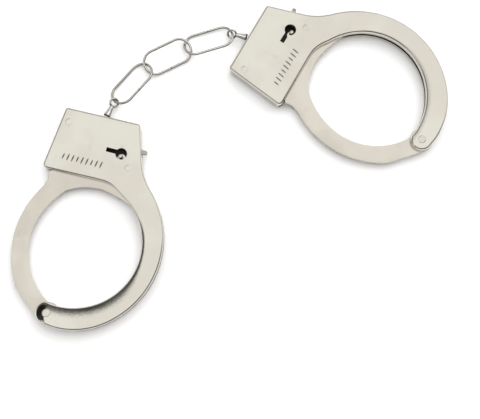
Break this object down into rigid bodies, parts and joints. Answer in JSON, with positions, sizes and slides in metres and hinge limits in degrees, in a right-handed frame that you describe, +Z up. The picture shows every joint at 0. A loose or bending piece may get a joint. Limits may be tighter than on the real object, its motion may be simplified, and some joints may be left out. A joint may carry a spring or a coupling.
{
  "type": "handcuffs",
  "caption": "Nickel-plated steel handcuffs with swing-through toothed arms, stamped lock housings, side release levers and a short chain of oval wire links.",
  "frame": {"origin": "centre of the bounding box in plan, at the plane of the back faces, on which both cuffs lie", "axes": "+X along the longest extent, from the left cuff to the right cuff as laid out; +Z up, out of the keyhole faces"},
  "size_m": [0.216, 0.1632, 0.0085],
  "materials": {
    "plate": "bright nickel plate, soft satin sheen",
    "arm": "bright nickel plate, slightly duller",
    "rivet": "nickel plated",
    "spacer": "plain steel",
    "lever": "nickel plated",
    "spring": "spring wire",
    "post": "nickel plated",
    "chain": "bright nickel plate"
  },
  "bodies": {
    "left_cuff": {"left_front_plate": "plate", "left_back_plate": "plate", "left_pivot_rivet": "rivet", "left_pivot_spacer_front": "spacer", "left_pivot_spacer_back": "spacer", "left_corner_rivet": "rivet", "left_lock_rivet": "rivet", "left_lock_spacer": "spacer", "left_key_post": "post"},
    "left_arm": {"left_arm": "arm"},
    "left_pawl": {"left_pawl_lever": "lever", "left_pawl_spring": "spring"},
    "left_swivel": {"left_swivel": "chain"},
    "link_1": {"link_1": "chain"},
    "link_2": {"link_2": "chain"},
    "link_3": {"link_3": "chain"},
    "right_swivel": {"right_swivel": "chain"},
    "right_cuff": {"right_front_plate": "plate", "right_back_plate": "plate", "right_pivot_rivet": "rivet", "right_pivot_spacer_front": "spacer", "right_pivot_spacer_back": "spacer", "right_corner_rivet": "rivet", "right_lock_rivet": "rivet", "right_lock_spacer": "spacer", "right_key_post": "post"},
    "right_arm": {"right_arm": "arm"},
    "right_pawl": {"right_pawl_lever": "lever", "right_pawl_spring": "spring"}
  },
  "joints": [
    {"name": "left_arm_hinge", "type": "hinge", "parent": "left_cuff", "child": "left_arm", "pos_m": [-0.0895, -0.07303, 0.0042], "axis": [0, 0, 1], "continuous": true},
    {"name": "left_release_lever", "type": "hinge", "parent": "left_cuff", "child": "left_pawl", "pos_m": [-0.05112, -0.00203, 0.0042], "axis": [0, 0, 1], "range_deg": [-6, 0], "stiffness_Nm_per_rad": 0.02, "springref_deg": 8.59},
    {"name": "left_swivel_turn", "type": "hinge", "parent": "left_cuff", "child": "left_swivel", "pos_m": [-0.06315, 0.02415, 0.0042], "axis": [0.4695, 0.8829, 0], "continuous": true},
    {"name": "left_eye_to_link_1", "type": "hinge", "parent": "left_swivel", "child": "link_1", "pos_m": [-0.05893, 0.03209, 0.0042], "axis": [0, 0, 1], "range_deg": [-4, 12]},
    {"name": "link_1_to_link_2", "type": "hinge", "parent": "link_1", "child": "link_2", "pos_m": [-0.04234, 0.05145, 0.00295], "axis": [0, 0, 1], "range_deg": [-12, 20]},
    {"name": "link_2_to_link_3", "type": "hinge", "parent": "link_2", "child": "link_3", "pos_m": [-0.02219, 0.0615, 0.0029], "axis": [0, 0, 1], "range_deg": [-20, 20]},
    {"name": "link_3_to_right_eye", "type": "hinge", "parent": "link_3", "child": "right_swivel", "pos_m": [0.00011, 0.0679, 0.0042], "axis": [0, 0, 1], "range_deg": [-12, 12]},
    {"name": "right_swivel_turn", "type": "hinge", "parent": "right_swivel", "child": "right_cuff", "pos_m": [0.00887, 0.06583, 0.0042], "axis": [-0.9733, 0.2295, 0], "continuous": true},
    {"name": "right_arm_hinge", "type": "hinge", "parent": "right_cuff", "child": "right_arm", "pos_m": [0.09431, 0.01256, 0.0042], "axis": [0, 0, 1], "continuous": true},
    {"name": "right_release_lever", "type": "hinge", "parent": "right_cuff", "child": "right_pawl", "pos_m": [0.03741, 0.0698, 0.0042], "axis": [0, 0, 1], "range_deg": [-6, 0], "stiffness_Nm_per_rad": 0.02, "springref_deg": 8.59}
  ]
}
